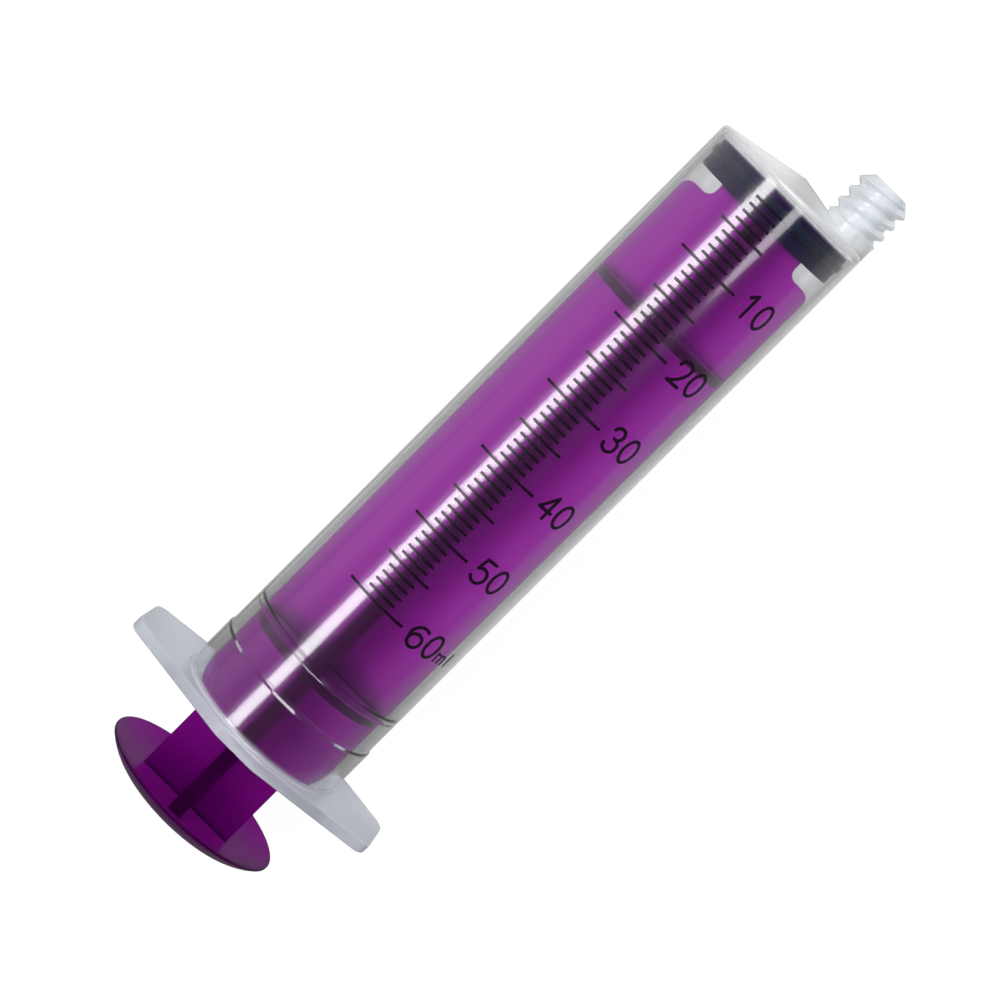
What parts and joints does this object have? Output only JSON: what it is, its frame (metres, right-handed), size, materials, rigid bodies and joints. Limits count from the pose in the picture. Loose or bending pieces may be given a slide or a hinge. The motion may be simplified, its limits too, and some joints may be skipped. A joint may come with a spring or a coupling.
{
  "type": "oral syringe",
  "caption": "Large oral syringe: clear graduated barrel with finger flange and off-centre threaded tip, and a sliding cross-ribbed plunger rod with a dished thumb press.",
  "frame": {"origin": "centre of the thumb press's flat rear face, on the barrel's axis", "axes": "+X along the barrel's axis towards the tip; +Z out of the printed side of the wall; the finger flange's long way is along Y, and the tip is off the axis towards -Y"},
  "size_m": [0.1581, 0.0544, 0.0356],
  "materials": {
    "clear_plastic": "clear, lightly frosted on the flange",
    "scale_ink": "screen-printed black ink",
    "seal_rubber": "satin black with a film of silicone oil",
    "purple_plastic": "satin, moulded in purple"
  },
  "bodies": {
    "barrel": {"barrel": "clear_plastic", "scale_marks": "scale_ink", "scale_numerals": "scale_ink"},
    "seal": {"o_ring": "seal_rubber"},
    "rod": {"plunger": "purple_plastic"}
  },
  "joints": [
    {"name": "plunger_slide", "type": "slide", "parent": "barrel", "child": "seal", "axis": [-1, 0, 0], "range_m": [0, 0.103]},
    {"name": "plunger_turn", "type": "hinge", "parent": "seal", "child": "rod", "pos_m": [0.143, 0, 0], "axis": [-1, 0, 0], "continuous": true}
  ]
}
